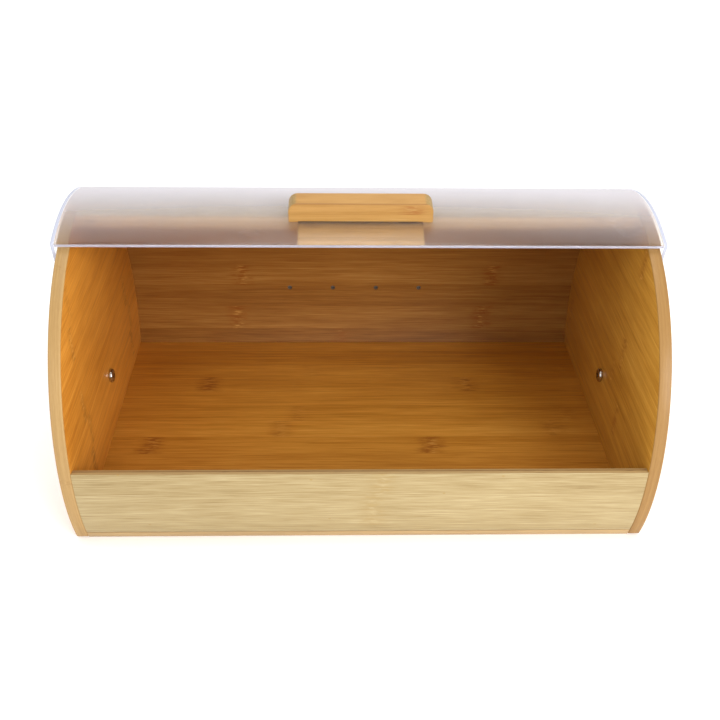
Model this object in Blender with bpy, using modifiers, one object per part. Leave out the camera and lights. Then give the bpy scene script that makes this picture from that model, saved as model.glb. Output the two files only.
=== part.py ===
# Bamboo bread box with a turning, curved lid.
#
# Frame: +Z up, -Y to the front, origin on the ground under the middle of the lid's hinge axis.
# Every board and the lid are concentric with that axis, which runs along X at PIVOT_HEIGHT.
# Angles are elevations seen from the hinge axis: 0 is straight forward, 90 up, 180 straight back.

from math import acos, asin, ceil, cos, degrees, pi, radians, sin, sqrt

import bmesh
import bpy

# Case
INNER_WIDTH = 0.370
PANEL_THICKNESS = 0.008
CASE_RADIUS = 0.132
PIVOT_HEIGHT = 0.052
PANEL_FOOT_ROUNDING = 0.003
EDGE_ROUNDING = 0.0008
FLOOR_THICKNESS = 0.011
FRONT_THICKNESS = 0.0055
BACK_THICKNESS = 0.0085
FRONT_TOP_ANGLE = 4.6
BACK_FRONT_ANGLE = 85.0
FLOOR_LIP_HEIGHT = 0.0063
BOARD_INSET = 0.0003

# Tongues on the board ends, and the stopped grooves in the side panels that take them
TONGUE_LENGTH = 0.003
FRONT_TONGUE_THICKNESS = 0.0028
BACK_TONGUE_THICKNESS = 0.0042
FLOOR_TONGUE_THICKNESS = 0.005
TONGUE_SETBACK_ANGLE = 3.0
FLOOR_TONGUE_SETBACK = 0.022

# Vent holes through the back
VENT_RADIUS = 0.0019
VENT_SPACING = 0.0364
VENT_COUNT = 4
VENT_RISE = 0.0082

# Lid
LID_CLEARANCE = 0.002
ACRYLIC_THICKNESS = 0.0023
LID_FRONT_ANGLE = 70.2
LID_REAR_ANGLE = 165.0
CHEEK_BOSS_RADIUS = 0.013

# Handle and the strip behind it
HANDLE_LENGTH = 0.0936
HANDLE_DEPTH = 0.0135
HANDLE_HEIGHT = 0.013
HANDLE_CORNER_RADIUS = 0.006
HANDLE_EDGE_ROUNDING = 0.0011
HANDLE_ANGLE = 82.4
STRIP_LENGTH = 0.0812
STRIP_THICKNESS = 0.006
STRIP_FRONT_ANGLE = 72.6
HANDLE_SCREW_SPACING = 0.056
HANDLE_SCREW_RADIUS = 0.0015
HANDLE_SCREW_HEAD_RADIUS = 0.0033
HANDLE_SCREW_HEAD_HEIGHT = 0.0018
HANDLE_SCREW_BITE = 0.008

# Pivots
BARREL_RADIUS = 0.003
BARREL_BORE_RADIUS = 0.00215
BARREL_DEPTH = 0.006
NUT_HEAD_RADIUS = 0.0055
NUT_HEAD_HEIGHT = 0.0026
SCREW_HEAD_RADIUS = 0.0052
SCREW_HEAD_HEIGHT = 0.0026
RECESS_WIDTH = 0.0011
RECESS_SPAN = 0.0052
RECESS_DEPTH = 0.0013
WASHER_RADIUS = 0.0062
WASHER_THICKNESS = 0.0005
RUNNING_CLEARANCE = 0.0002

# Space left between pieces that touch
GAP = 0.0003

# Fineness of round shapes
ARC_STEP = 3.0
TURNED_SEGMENTS = 28
HOLE_SEGMENTS = 28

# Worked out from the sizes above
INNER_HALF = INNER_WIDTH / 2
OUTER_HALF = INNER_HALF + PANEL_THICKNESS
BOARD_RADIUS = CASE_RADIUS - BOARD_INSET
SHELL_INNER_RADIUS = CASE_RADIUS + LID_CLEARANCE
SHELL_OUTER_RADIUS = SHELL_INNER_RADIUS + ACRYLIC_THICKNESS
SPACER_START = OUTER_HALF + GAP
CHEEK_START = SPACER_START + WASHER_THICKNESS + GAP
WASHER_START = CHEEK_START + ACRYLIC_THICKNESS + GAP
NUT_HEAD_START = WASHER_START + WASHER_THICKNESS + GAP
GAP_ANGLE = degrees(GAP / BOARD_RADIUS)
BOARD_FOOT_ANGLE = degrees(asin((PIVOT_HEIGHT - FLOOR_LIP_HEIGHT) / BOARD_RADIUS))
FRONT_ANGLES = (-BOARD_FOOT_ANGLE, FRONT_TOP_ANGLE)
BACK_ANGLES = (BACK_FRONT_ANGLE, 180 + BOARD_FOOT_ANGLE)
BOARD_LENGTH = INNER_WIDTH - 2 * GAP
STRIP_OUTER_RADIUS = SHELL_INNER_RADIUS - GAP
STRIP_INNER_RADIUS = STRIP_OUTER_RADIUS - STRIP_THICKNESS

# Turns an outline drawn in a curve's own X and Y into one seen from the side, in world Y and Z
SIDE_VIEW = (pi / 2, 0.0, pi / 2)


def clear_scene():
    for thing in list(bpy.data.objects):
        bpy.data.objects.remove(thing, do_unlink=True)


def new_collection(name):
    collection = bpy.data.collections.new(name)
    bpy.context.scene.collection.children.link(collection)
    return collection


def make_material(name, color, roughness, metallic=0.0, alpha=1.0):
    material = bpy.data.materials.new(name)
    material.use_nodes = True
    shader = material.node_tree.nodes["Principled BSDF"]
    shader.inputs["Base Color"].default_value = (*color, 1.0)
    shader.inputs["Roughness"].default_value = roughness
    shader.inputs["Metallic"].default_value = metallic
    shader.inputs["Alpha"].default_value = alpha
    return material


def place(thing, collection, location=(0, 0, 0), rotation=(0, 0, 0), parent=None):
    collection.objects.link(thing)
    thing.parent = parent
    thing.location = location
    thing.rotation_euler = rotation
    return thing


def as_cutter(thing):
    thing.hide_render = True
    thing.display_type = "WIRE"
    return thing


def boolean(target, other, operation="DIFFERENCE"):
    modifier = target.modifiers.new(other.name, "BOOLEAN")
    modifier.operation = operation
    modifier.object = other
    modifier.solver = "EXACT"


def round_edges(target, width, segments=2):
    modifier = target.modifiers.new("rounded edges", "BEVEL")
    modifier.width = width
    modifier.segments = segments
    modifier.limit_method = "ANGLE"
    modifier.angle_limit = radians(60)


def smooth_round_faces(mesh):
    mesh.shade_smooth()
    mesh.set_sharp_from_angle(angle=radians(30))


def polar(radius, elevation):
    # (y, z) of a point seen from the hinge axis
    return (-radius * cos(radians(elevation)), radius * sin(radians(elevation)))


def arc(radius, first, last):
    # Points along an arc about the hinge axis, both ends included
    steps = max(1, ceil(abs(last - first) / ARC_STEP))
    return [polar(radius, first + (last - first) * step / steps) for step in range(steps + 1)]


def circle(radius, center=(0.0, 0.0)):
    turns = [2 * pi * step / HOLE_SEGMENTS for step in range(HOLE_SEGMENTS)]
    return [(center[0] + radius * cos(turn), center[1] + radius * sin(turn)) for turn in turns]


def outline_solid(name, loops, thickness, collection, location, rotation, parent=None):
    # Flat outline, with any inner loops as holes, thickened equally both ways
    curve = bpy.data.curves.new(name + " outline", "CURVE")
    curve.dimensions = "2D"
    curve.fill_mode = "BOTH"
    curve.extrude = thickness / 2
    for loop in loops:
        spline = curve.splines.new("POLY")
        spline.points.add(len(loop) - 1)
        for point, (across, up) in zip(spline.points, loop):
            point.co = (across, up, 0.0, 1.0)
        spline.use_cyclic_u = True
    drawn = place(bpy.data.objects.new(name + " outline", curve), collection, location, rotation, parent)
    bpy.context.view_layer.update()
    evaluated = drawn.evaluated_get(bpy.context.evaluated_depsgraph_get())
    mesh = bpy.data.meshes.new_from_object(evaluated)
    mesh.name = name
    shape = bmesh.new()
    shape.from_mesh(mesh)
    bmesh.ops.remove_doubles(shape, verts=shape.verts, dist=0.000001)
    bmesh.ops.recalc_face_normals(shape, faces=shape.faces)
    shape.to_mesh(mesh)
    shape.free()
    solid = bpy.data.objects.new(name, mesh)
    collection.objects.link(solid)
    solid.parent = parent
    solid.matrix_world = drawn.matrix_world.copy()
    bpy.data.objects.remove(drawn, do_unlink=True)
    smooth_round_faces(mesh)
    return solid


def bent_sheet(name, outer_radius, thickness, angles, length, collection, parent=None):
    # A straight edge along X swept round the hinge axis, then thickened inwards
    first, last = angles
    height = 0.0 if parent else PIVOT_HEIGHT
    shape = bmesh.new()
    ends = [shape.verts.new((side * length / 2, *polar(outer_radius, first))) for side in (-1, 1)]
    edge = shape.edges.new(ends)
    bmesh.ops.spin(
        shape,
        geom=[*ends, edge],
        cent=(0, 0, 0),
        axis=(1, 0, 0),
        angle=-radians(last - first),
        steps=ceil((last - first) / ARC_STEP),
    )
    shape.normal_update()
    shape.faces.ensure_lookup_table()
    middle = shape.faces[0]
    if middle.normal.dot(middle.calc_center_median()) < 0:
        bmesh.ops.reverse_faces(shape, faces=shape.faces)
    mesh = bpy.data.meshes.new(name)
    shape.to_mesh(mesh)
    shape.free()
    smooth_round_faces(mesh)
    sheet = place(bpy.data.objects.new(name, mesh), collection, (0, 0, height), parent=parent)
    thicken = sheet.modifiers.new("thickness", "SOLIDIFY")
    thicken.thickness = thickness
    thicken.offset = -1.0
    return sheet


def block(name, size, collection, location, parent=None):
    shape = bmesh.new()
    bmesh.ops.create_cube(shape, size=1.0)
    bmesh.ops.scale(shape, vec=size, verts=shape.verts)
    mesh = bpy.data.meshes.new(name)
    shape.to_mesh(mesh)
    shape.free()
    return place(bpy.data.objects.new(name, mesh), collection, location, parent=parent)


def rod(name, radius, length, collection, location, rotation=(0, 0, 0), parent=None, segments=HOLE_SEGMENTS):
    shape = bmesh.new()
    bmesh.ops.create_cone(
        shape,
        cap_ends=True,
        segments=segments,
        radius1=radius,
        radius2=radius,
        depth=length,
    )
    mesh = bpy.data.meshes.new(name)
    shape.to_mesh(mesh)
    shape.free()
    return place(bpy.data.objects.new(name, mesh), collection, location, rotation, parent)


def turned(name, profile, collection, location, rotation, parent=None, ring=False):
    # Profile of (radius, height) pairs, down the outer side, turned about the object's own Z
    edges = [(index, index + 1) for index in range(len(profile) - 1)]
    if ring:
        edges.append((len(profile) - 1, 0))
    mesh = bpy.data.meshes.new(name)
    mesh.from_pydata([(radius, 0.0, height) for radius, height in profile], edges, [])
    solid = place(bpy.data.objects.new(name, mesh), collection, location, rotation, parent)
    turn = solid.modifiers.new("turned", "SCREW")
    turn.axis = "Z"
    turn.angle = 2 * pi
    turn.steps = TURNED_SEGMENTS
    turn.render_steps = TURNED_SEGMENTS
    turn.use_merge_vertices = True
    turn.merge_threshold = 0.00001
    turn.use_smooth_shade = False
    return solid


def dome(radius, base, height, points=5):
    # Quarter ellipse from the rim at base to the crown, as (radius, height) pairs
    turns = [pi / 2 * step / points for step in range(points + 1)]
    return [(radius * cos(turn), base + height * sin(turn)) for turn in turns]


def side_outline():
    # Circle about the hinge axis cut off flat at the ground, with both foot corners rounded
    rounding = PANEL_FOOT_ROUNDING
    center_z = rounding - PIVOT_HEIGHT
    center_y = sqrt((CASE_RADIUS - rounding) ** 2 - center_z ** 2)
    meet_angle = degrees(asin(center_z / (CASE_RADIUS - rounding)))
    outline = arc(CASE_RADIUS, meet_angle, 180 - meet_angle)
    corner_steps = 5
    for step in range(1, corner_steps + 1):
        turn = radians(meet_angle + (-90 - meet_angle) * step / corner_steps)
        outline.append((center_y + rounding * cos(turn), center_z + rounding * sin(turn)))
    for step in range(corner_steps):
        turn = radians(-90 + (meet_angle + 90) * step / corner_steps)
        outline.append((-center_y - rounding * cos(turn), center_z + rounding * sin(turn)))
    return outline


def tongue_sheet(name, board_thickness, thickness, angles, growth, collection):
    # Tongue in the middle of a bent board's thickness; grown all round, it is the groove for it
    first, last = angles
    growth_angle = degrees(growth / BOARD_RADIUS)
    return as_cutter(
        bent_sheet(
            name,
            BOARD_RADIUS - (board_thickness - thickness) / 2 + growth,
            thickness + 2 * growth,
            (first + TONGUE_SETBACK_ANGLE - growth_angle, last - TONGUE_SETBACK_ANGLE + growth_angle),
            INNER_WIDTH + 2 * (TONGUE_LENGTH - GAP + growth),
            collection,
        )
    )


def front_tongue(name, growth, collection):
    return tongue_sheet(name, FRONT_THICKNESS, FRONT_TONGUE_THICKNESS, FRONT_ANGLES, growth, collection)


def back_tongue(name, growth, collection):
    return tongue_sheet(name, BACK_THICKNESS, BACK_TONGUE_THICKNESS, BACK_ANGLES, growth, collection)


def floor_tongue(name, growth, collection):
    half_depth = BOARD_RADIUS - FLOOR_TONGUE_SETBACK
    size = (
        INNER_WIDTH + 2 * (TONGUE_LENGTH - GAP + growth),
        2 * (half_depth + growth),
        FLOOR_TONGUE_THICKNESS + 2 * growth,
    )
    return as_cutter(block(name, size, collection, (0, 0, FLOOR_THICKNESS / 2)))


def make_grooves(cutters):
    return [
        front_tongue("front groove", GAP, cutters),
        back_tongue("back groove", GAP, cutters),
        floor_tongue("floor groove", GAP, cutters),
    ]


def make_side_panel(name, side, grooves, parts):
    loops = [side_outline(), circle(BARREL_RADIUS + GAP)]
    location = (side * (INNER_HALF + PANEL_THICKNESS / 2), 0, PIVOT_HEIGHT)
    panel = outline_solid(name, loops, PANEL_THICKNESS, parts, location, SIDE_VIEW)
    round_edges(panel, EDGE_ROUNDING)
    for groove in grooves:
        boolean(panel, groove)
    return panel


def floor_outline():
    # Seen from the side: a step at the front and at the rear, on which the bent boards stand
    ground_angle = degrees(asin(PIVOT_HEIGHT / BOARD_RADIUS))
    step_angle = BOARD_FOOT_ANGLE + GAP_ANGLE
    drop = PIVOT_HEIGHT - FLOOR_THICKNESS
    front_radius = BOARD_RADIUS - FRONT_THICKNESS - GAP
    back_radius = BOARD_RADIUS - BACK_THICKNESS - GAP
    front_top_angle = degrees(asin(drop / front_radius))
    back_top_angle = degrees(asin(drop / back_radius))
    outline = arc(BOARD_RADIUS, -ground_angle, -step_angle)
    outline += arc(front_radius, -step_angle, -front_top_angle)
    outline += arc(back_radius, 180 + back_top_angle, 180 + step_angle)
    outline += arc(BOARD_RADIUS, 180 + step_angle, 180 + ground_angle)
    return outline


def make_floor_board(parts, cutters):
    location = (0, 0, PIVOT_HEIGHT)
    board = outline_solid("floor_board", [floor_outline()], BOARD_LENGTH, parts, location, SIDE_VIEW)
    boolean(board, floor_tongue("floor tongue", 0.0, cutters), "UNION")
    return board


def make_front_board(parts, cutters):
    board = bent_sheet("front_board", BOARD_RADIUS, FRONT_THICKNESS, FRONT_ANGLES, BOARD_LENGTH, parts)
    boolean(board, front_tongue("front tongue", 0.0, cutters), "UNION")
    return board


def make_back_board(parts, cutters):
    board = bent_sheet("back_board", BOARD_RADIUS, BACK_THICKNESS, BACK_ANGLES, BOARD_LENGTH, parts)
    for index in range(VENT_COUNT):
        across = (index - (VENT_COUNT - 1) / 2) * VENT_SPACING
        location = (across, BOARD_RADIUS - BACK_THICKNESS / 2, PIVOT_HEIGHT + VENT_RISE)
        drill = rod(f"vent {index + 1}", VENT_RADIUS, 3 * BACK_THICKNESS, cutters, location, (pi / 2, 0, 0))
        boolean(board, as_cutter(drill))
    boolean(board, back_tongue("back tongue", 0.0, cutters), "UNION")
    return board


def make_pivot_screw(name, side, parts, cutters):
    seat = -GAP
    shank_radius = BARREL_BORE_RADIUS - GAP
    shank_end = PANEL_THICKNESS
    profile = [(0.0, shank_end), (shank_radius, shank_end), (shank_radius, seat)]
    rim = SCREW_HEAD_HEIGHT * 0.3
    profile += [(SCREW_HEAD_RADIUS, seat)]
    profile += dome(SCREW_HEAD_RADIUS, seat - rim, rim - SCREW_HEAD_HEIGHT)
    location = (side * INNER_HALF, 0, PIVOT_HEIGHT)
    screw = turned(name, profile, parts, location, (0, side * pi / 2, 0))
    crown = side * (INNER_HALF - GAP - SCREW_HEAD_HEIGHT)
    for label, width, span in (("upright", RECESS_WIDTH, RECESS_SPAN), ("level", RECESS_SPAN, RECESS_WIDTH)):
        size = (2 * RECESS_DEPTH, width, span)
        slot = block(f"{name} {label} slot", size, cutters, (crown, 0, PIVOT_HEIGHT))
        boolean(screw, as_cutter(slot))
    return screw


def make_pivot_nut(name, side, parts):
    head = NUT_HEAD_START - INNER_HALF
    rim = NUT_HEAD_HEIGHT * 0.3
    inner_end = PANEL_THICKNESS - BARREL_DEPTH
    bore_end = PANEL_THICKNESS + GAP
    profile = list(reversed(dome(NUT_HEAD_RADIUS, head + rim, NUT_HEAD_HEIGHT - rim)))
    profile += [(NUT_HEAD_RADIUS, head), (BARREL_RADIUS, head), (BARREL_RADIUS, inner_end)]
    profile += [(BARREL_BORE_RADIUS, inner_end), (BARREL_BORE_RADIUS, bore_end), (0.0, bore_end)]
    return turned(name, profile, parts, (side * INNER_HALF, 0, PIVOT_HEIGHT), (0, side * pi / 2, 0))


def make_ring(name, side, start, parts):
    # Flat plastic ring round the barrel; start is its inner face's distance from the middle
    hole = BARREL_RADIUS + GAP
    thick = WASHER_THICKNESS
    profile = [(hole, thick), (WASHER_RADIUS, thick), (WASHER_RADIUS, 0.0), (hole, 0.0)]
    return turned(name, profile, parts, (side * start, 0, PIVOT_HEIGHT), (0, side * pi / 2, 0), ring=True)


def cheek_outline():
    # A sector of the shell's radius whose straight edges run tangent to a boss round the pivot
    spread = degrees(acos(CHEEK_BOSS_RADIUS / SHELL_OUTER_RADIUS))
    outline = arc(SHELL_OUTER_RADIUS, LID_FRONT_ANGLE, LID_REAR_ANGLE)
    boss_steps = 16
    first = LID_REAR_ANGLE + spread
    last = LID_FRONT_ANGLE - spread + 360
    for step in range(boss_steps + 1):
        outline.append(polar(CHEEK_BOSS_RADIUS, first + (last - first) * step / boss_steps))
    return outline


def make_lid_cheek(name, side, parts, pivot):
    loops = [cheek_outline(), circle(BARREL_RADIUS + RUNNING_CLEARANCE)]
    location = (side * (CHEEK_START + ACRYLIC_THICKNESS / 2), 0, 0)
    return outline_solid(name, loops, ACRYLIC_THICKNESS, parts, location, SIDE_VIEW, pivot)


def make_lid_shell(parts, pivot):
    length = 2 * (CHEEK_START - GAP)
    angles = (LID_FRONT_ANGLE, LID_REAR_ANGLE)
    return bent_sheet("lid_shell", SHELL_OUTER_RADIUS, ACRYLIC_THICKNESS, angles, length, parts, pivot)


def make_backing_strip(parts, pivot):
    angles = (STRIP_FRONT_ANGLE, BACK_FRONT_ANGLE - GAP_ANGLE)
    name = "handle_backing_strip"
    return bent_sheet(name, STRIP_OUTER_RADIUS, STRIP_THICKNESS, angles, STRIP_LENGTH, parts, pivot)


def handle_outline():
    # Length across, radius from the hinge axis up; the two outer corners are rounded
    half = HANDLE_LENGTH / 2
    top = SHELL_OUTER_RADIUS + GAP + HANDLE_HEIGHT
    bottom = SHELL_OUTER_RADIUS - HANDLE_CORNER_RADIUS / 4
    rounding = HANDLE_CORNER_RADIUS
    corner_steps = 6
    turns = [pi / 2 * step / corner_steps for step in range(corner_steps + 1)]
    right = [(half - rounding + rounding * cos(turn), top - rounding + rounding * sin(turn)) for turn in turns]
    left = [(-across, up) for across, up in reversed(right)]
    return [(half, bottom), *right, *left, (-half, bottom)]


def make_lid_handle(parts, cutters, pivot):
    tilt = radians(90 - HANDLE_ANGLE)
    rotation = (pi / 2 + tilt, 0, 0)
    handle = outline_solid("lid_handle", [handle_outline()], HANDLE_DEPTH, parts, (0, 0, 0), rotation, pivot)
    round_edges(handle, HANDLE_EDGE_ROUNDING)
    seat_radius = SHELL_OUTER_RADIUS + GAP
    length = HANDLE_LENGTH * 1.2
    turn = (0, pi / 2, 0)
    seat = rod("handle seat", seat_radius, length, cutters, (0, 0, 0), turn, pivot, round(360 / ARC_STEP))
    boolean(handle, as_cutter(seat))
    return handle


def screw_tip_radius():
    return SHELL_OUTER_RADIUS + GAP + HANDLE_SCREW_BITE


def make_handle_screw(name, across, parts, pivot):
    # Pan head under the strip, shank through strip and shell into the handle
    tip = screw_tip_radius()
    sag = STRIP_INNER_RADIUS - sqrt(STRIP_INNER_RADIUS ** 2 - HANDLE_SCREW_HEAD_RADIUS ** 2)
    seat = STRIP_INNER_RADIUS - sag - GAP
    rim = HANDLE_SCREW_HEAD_HEIGHT * 0.3
    profile = [(0.0, tip), (HANDLE_SCREW_RADIUS, tip), (HANDLE_SCREW_RADIUS, seat)]
    profile += [(HANDLE_SCREW_HEAD_RADIUS, seat)]
    profile += dome(HANDLE_SCREW_HEAD_RADIUS, seat - rim, rim - HANDLE_SCREW_HEAD_HEIGHT, 4)
    tilt = radians(90 - HANDLE_ANGLE)
    return turned(name, profile, parts, (across, 0, 0), (tilt, 0, 0), pivot)


def drill_for_handle_screw(across, pieces, cutters, pivot):
    # One drilling from under the strip to just past the screw's tip
    start = STRIP_INNER_RADIUS - STRIP_THICKNESS
    end = screw_tip_radius() + GAP
    middle = (start + end) / 2
    tilt = radians(90 - HANDLE_ANGLE)
    location = (across, *polar(middle, HANDLE_ANGLE))
    radius = HANDLE_SCREW_RADIUS + GAP
    name = "handle drilling left" if across < 0 else "handle drilling right"
    drill = as_cutter(rod(name, radius, end - start, cutters, location, (tilt, 0, 0), pivot))
    for piece in pieces:
        boolean(piece, drill)


def paint(pieces, material):
    for piece in pieces:
        piece.data.materials.clear()
        piece.data.materials.append(material)


def make_case(parts, cutters):
    grooves = make_grooves(cutters)
    for name, side in (("left", -1), ("right", 1)):
        tint = 1.0 if side < 0 else 0.94
        panel = make_side_panel(f"side_panel_{name}", side, grooves, parts)
        paint([panel], make_material(f"side bamboo {name}", (0.56 * tint, 0.33 * tint, 0.13 * tint), 0.45))
        screw = make_pivot_screw(f"pivot_screw_{name}", side, parts, cutters)
        paint([screw], make_material(f"screw steel {name}", (0.62, 0.62, 0.64), 0.22, 1.0))
        nut = make_pivot_nut(f"pivot_nut_{name}", side, parts)
        paint([nut], make_material(f"nut steel {name}", (0.66, 0.66, 0.68), 0.2, 1.0))
        spacer = make_ring(f"pivot_spacer_{name}", side, SPACER_START, parts)
        paint([spacer], make_material(f"spacer plastic {name}", (0.80, 0.80, 0.78), 0.5))
        washer = make_ring(f"pivot_washer_{name}", side, WASHER_START, parts)
        paint([washer], make_material(f"washer plastic {name}", (0.78, 0.78, 0.76), 0.5))
    paint([make_floor_board(parts, cutters)], make_material("floor bamboo", (0.60, 0.36, 0.15), 0.5))
    paint([make_front_board(parts, cutters)], make_material("front plywood", (0.64, 0.45, 0.24), 0.5))
    paint([make_back_board(parts, cutters)], make_material("back plywood", (0.50, 0.28, 0.11), 0.5))


def make_lid(parts, cutters):
    pivot = bpy.data.objects.new("lid_pivot", None)
    place(pivot, parts, (0, 0, PIVOT_HEIGHT))
    bpy.context.view_layer.update()
    shell = make_lid_shell(parts, pivot)
    paint([shell], make_material("frosted acrylic", (0.86, 0.85, 0.88), 0.45, alpha=0.4))
    for name, side in (("left", -1), ("right", 1)):
        cheek = make_lid_cheek(f"lid_cheek_{name}", side, parts, pivot)
        paint([cheek], make_material(f"clear acrylic {name}", (0.88, 0.88, 0.92), 0.1, alpha=0.35))
    strip = make_backing_strip(parts, pivot)
    paint([strip], make_material("strip wood", (0.58, 0.38, 0.18), 0.55))
    handle = make_lid_handle(parts, cutters, pivot)
    paint([handle], make_material("handle bamboo", (0.70, 0.44, 0.17), 0.4))
    for name, side in (("left", -1), ("right", 1)):
        across = side * HANDLE_SCREW_SPACING / 2
        screw = make_handle_screw(f"handle_screw_{name}", across, parts, pivot)
        paint([screw], make_material(f"handle screw steel {name}", (0.60, 0.60, 0.62), 0.3, 1.0))
        drill_for_handle_screw(across, (strip, shell, handle), cutters, pivot)


def main():
    clear_scene()
    parts = new_collection("bread_box")
    cutters = new_collection("cutters")
    make_case(parts, cutters)
    make_lid(parts, cutters)


main()
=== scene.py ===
from math import asin, cos, degrees, pi, radians, sin, sqrt, tan

import bmesh
import bpy
from mathutils import Euler, Matrix, Vector


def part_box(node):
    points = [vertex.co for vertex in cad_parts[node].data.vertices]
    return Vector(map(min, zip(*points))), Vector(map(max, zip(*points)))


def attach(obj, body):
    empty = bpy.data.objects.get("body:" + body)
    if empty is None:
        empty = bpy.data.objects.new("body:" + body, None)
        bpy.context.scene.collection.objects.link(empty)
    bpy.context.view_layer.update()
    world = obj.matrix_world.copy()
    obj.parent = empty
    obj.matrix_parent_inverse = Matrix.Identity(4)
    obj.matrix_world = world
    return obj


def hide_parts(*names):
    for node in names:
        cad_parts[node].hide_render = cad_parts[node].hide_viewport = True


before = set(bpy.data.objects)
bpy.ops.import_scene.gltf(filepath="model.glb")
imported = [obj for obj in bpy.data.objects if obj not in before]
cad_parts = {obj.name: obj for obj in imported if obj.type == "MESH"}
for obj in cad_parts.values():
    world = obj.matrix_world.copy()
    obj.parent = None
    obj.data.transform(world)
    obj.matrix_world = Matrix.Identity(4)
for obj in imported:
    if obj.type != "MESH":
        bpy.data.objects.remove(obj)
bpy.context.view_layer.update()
print("frame loaded,", len(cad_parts), "nodes")

# The lid turns about a line along X at this height. Angles are seen from that line, 0 forward and 90 up
hingeHeight = (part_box("pivot_nut_left")[0].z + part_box("pivot_nut_left")[1].z) / 2
hinge = Vector((0, 0, hingeHeight))
gap = 0.0003  # left between pieces that touch
handleAngle = 82.4
tiny = 0.0001  # points closer than this are taken as level
mergeDistance = 0.000002


def deselectAll():
    if bpy.context.object and bpy.context.object.mode != "OBJECT":
        bpy.ops.object.mode_set(mode="OBJECT")
    bpy.ops.object.select_all(action="DESELECT")


def workOn(piece):
    deselectAll()
    piece.select_set(True)
    bpy.context.view_layer.objects.active = piece


def setTransform(location=True, rotation=True):
    bpy.ops.object.transform_apply(location=location, rotation=rotation, scale=True)


def editOn():
    bpy.ops.object.mode_set(mode="EDIT")


def editOff():
    bpy.ops.object.mode_set(mode="OBJECT")


def pick(kind, test):
    # In edit mode, selects what passes test(middle, direction) and nothing else
    bpy.ops.mesh.select_mode(type=kind)
    bpy.ops.mesh.select_all(action="DESELECT")
    mesh = bpy.context.object.data
    shape = bmesh.from_edit_mesh(mesh)
    shape.normal_update()
    things = {"EDGE": shape.edges, "FACE": shape.faces}[kind]
    for thing in things:
        if kind == "EDGE":
            middle = (thing.verts[0].co + thing.verts[1].co) / 2
            direction = (thing.verts[1].co - thing.verts[0].co).normalized()
        else:
            middle, direction = thing.calc_center_median(), thing.normal
        if test(middle, direction):
            thing.select_set(True)
    bmesh.update_edit_mesh(mesh)


def giveMaterial(piece, number, test):
    pick("FACE", test)
    piece.active_material_index = number
    bpy.ops.object.material_slot_assign()


def polar(radius, angle):
    return Vector((0, -radius * cos(radians(angle)), hingeHeight + radius * sin(radians(angle))))


def fromHinge(point):
    return Vector((0, point.y, point.z - hingeHeight))


def applyModifier(piece, kind, **settings):
    workOn(piece)
    modifier = piece.modifiers.new(kind.lower(), kind)
    for key, value in settings.items():
        setattr(modifier, key, value)
    bpy.ops.object.modifier_apply(modifier=modifier.name)


def softenEdges(piece, width, segments=2, angle=40):
    applyModifier(
        piece, "BEVEL", width=width, segments=segments, limit_method="ANGLE",
        angle_limit=radians(angle), use_clamp_overlap=True, harden_normals=False,
    )


def cutWith(piece, cutter):
    applyModifier(piece, "BOOLEAN", operation="DIFFERENCE", object=cutter, solver="EXACT")
    bpy.data.objects.remove(cutter, do_unlink=True)


def drill(piece, radius, length, location, rotation, vertices=40):
    deselectAll()
    bpy.ops.mesh.primitive_cylinder_add(
        vertices=vertices, radius=radius, depth=length, location=location, rotation=rotation
    )
    cutWith(piece, bpy.context.object)


def finishPiece(piece, name, body, materials):
    # Puts its place in its mesh, turns its faces outwards and hands it to the frame
    workOn(piece)
    setTransform()
    editOn()
    bpy.ops.mesh.select_all(action="SELECT")
    bpy.ops.mesh.remove_doubles(threshold=mergeDistance)
    bpy.ops.mesh.normals_make_consistent(inside=False)
    editOff()
    bpy.ops.object.shade_smooth_by_angle(angle=radians(35))
    piece.name = name + "_piece"
    piece.data.name = name + "_mesh"
    piece.data.materials.clear()
    for material in materials:
        piece.data.materials.append(material)
    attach(piece, body)
    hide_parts(name)
    print("made", name, len(piece.data.polygons), "faces")


class Flow:
    # One output socket. Arithmetic on it adds Math nodes, and node() adds any other kind
    def __init__(self, tree, socket=None):
        self.tree = tree
        self.socket = socket

    def node(self, kind, settings=None, inputs=None, output=0):
        made = self.tree.nodes.new(kind)
        for key, value in (settings or {}).items():
            if key == "stops":
                ramp = made.color_ramp
                while len(ramp.elements) < len(value):
                    ramp.elements.new(0.5)
                for stop, (position, color) in zip(ramp.elements, value):
                    stop.position = position
                    stop.color = (*color, 1.0)
            else:
                setattr(made, key, value)
        for key, value in (inputs or {}).items():
            if isinstance(value, Flow):
                self.tree.links.new(value.socket, made.inputs[key])
            else:
                made.inputs[key].default_value = value
        return Flow(self.tree, made.outputs[output] if made.outputs else None)

    def math(self, operation, *values):
        return self.node("ShaderNodeMath", {"operation": operation}, dict(enumerate(values)))

    def __add__(self, other):
        return self.math("ADD", self, other)

    def __sub__(self, other):
        return self.math("SUBTRACT", self, other)

    def __rsub__(self, other):
        return self.math("SUBTRACT", other, self)

    def __mul__(self, other):
        return self.math("MULTIPLY", self, other)

    def __truediv__(self, other):
        return self.math("DIVIDE", self, other)

    def __pow__(self, other):
        return self.math("POWER", self, other)

    __radd__ = __add__
    __rmul__ = __mul__

    def between(self, low, high):
        # 0 at low, 1 at high, eased
        return self.node(
            "ShaderNodeMapRange", {"interpolation_type": "SMOOTHSTEP", "clamp": True},
            {"Value": self, "From Min": low, "From Max": high, "To Min": 0.0, "To Max": 1.0},
        )

    def mixColor(self, first, second):
        return self.node(
            "ShaderNodeMix", {"data_type": "RGBA", "blend_type": "MIX"},
            {0: self, 6: rgba(first), 7: rgba(second)}, output=2,
        )


def rgba(color):
    return color if isinstance(color, Flow) else (*color, 1.0)


def newMaterial(name):
    material = bpy.data.materials.new(name)
    material.use_nodes = True
    material.node_tree.nodes.clear()
    return material, Flow(material.node_tree)


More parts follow.
